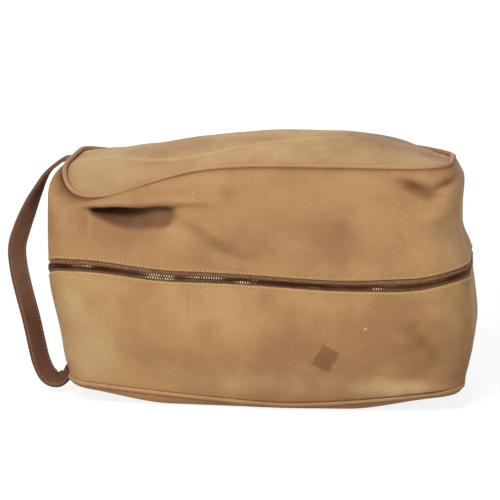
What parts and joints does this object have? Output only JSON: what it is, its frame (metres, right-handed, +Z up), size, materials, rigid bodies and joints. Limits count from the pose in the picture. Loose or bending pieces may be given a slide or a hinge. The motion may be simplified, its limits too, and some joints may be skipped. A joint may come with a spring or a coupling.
{
  "type": "travel bag",
  "caption": "Soft leather travel bag on a flat base, opened by a zip round its front and ends, with a carry strap down one end.",
  "frame": {"origin": "middle of the flat of the base, on the surface that the bag stands on", "axes": "+X to the bag's right as seen from its front, -Y to the front, +Z up"},
  "size_m": [0.4875, 0.1987, 0.2734],
  "materials": {
    "tan_leather": "waxed nubuck, matt with a soft sheen",
    "strap_leather": "dark bridle leather, semi-matt",
    "lining_cloth": "plain cotton twill",
    "zip_tape": "woven zip tape",
    "zip_brass": "aged brass, satin",
    "ochre_thread": "waxed thread",
    "piping_cord": "twisted cotton cord"
  },
  "bodies": {
    "lower_shell": {"base_panel": "tan_leather", "lower_wall": "tan_leather", "lower_back": "tan_leather", "lower_lining": "lining_cloth", "base_piping": "tan_leather", "base_piping_cord": "piping_cord", "lower_zip_tape": "zip_tape", "lower_zip_teeth": "zip_brass", "lower_zip_stitching": "ochre_thread", "zip_bottom_stop": "zip_brass", "lower_top_stop": "zip_brass", "lower_strap_face": "strap_leather", "lower_strap_backing": "strap_leather", "lower_strap_stitching": "ochre_thread"},
    "lid": {"top_panel": "tan_leather", "upper_wall": "tan_leather", "upper_back": "tan_leather", "upper_lining": "lining_cloth", "top_piping": "tan_leather", "top_piping_cord": "piping_cord", "upper_zip_tape": "zip_tape", "upper_zip_teeth": "zip_brass", "upper_zip_stitching": "ochre_thread", "upper_top_stop": "zip_brass", "upper_strap_face": "strap_leather", "upper_strap_backing": "strap_leather", "upper_strap_stitching": "ochre_thread"},
    "slider": {"slider_body": "zip_brass", "slider_bridge": "zip_brass"},
    "pull_link": {"puller_link": "zip_brass"},
    "pull_tab": {"puller_tab": "zip_brass"}
  },
  "joints": [
    {"name": "lid_fold", "type": "hinge", "parent": "lower_shell", "child": "lid", "pos_m": [0, 0.098, 0.14], "axis": [-1, 0, 0], "range_deg": [0, 110]},
    {"name": "slider_run", "type": "slide", "parent": "lower_shell", "child": "slider", "axis": [0, -1, 0], "range_m": [0, 0.086], "deforming": ["lower_zip_teeth", "upper_zip_teeth"]},
    {"name": "link_swing", "type": "hinge", "parent": "slider", "child": "pull_link", "pos_m": [-0.22145, 0.04, 0.14], "axis": [0, 1, 0], "range_deg": [0, 75]},
    {"name": "tab_swing", "type": "hinge", "parent": "pull_link", "child": "pull_tab", "pos_m": [-0.22145, 0.04, 0.13105], "axis": [1, 0, 0], "range_deg": [-60, 60]}
  ]
}
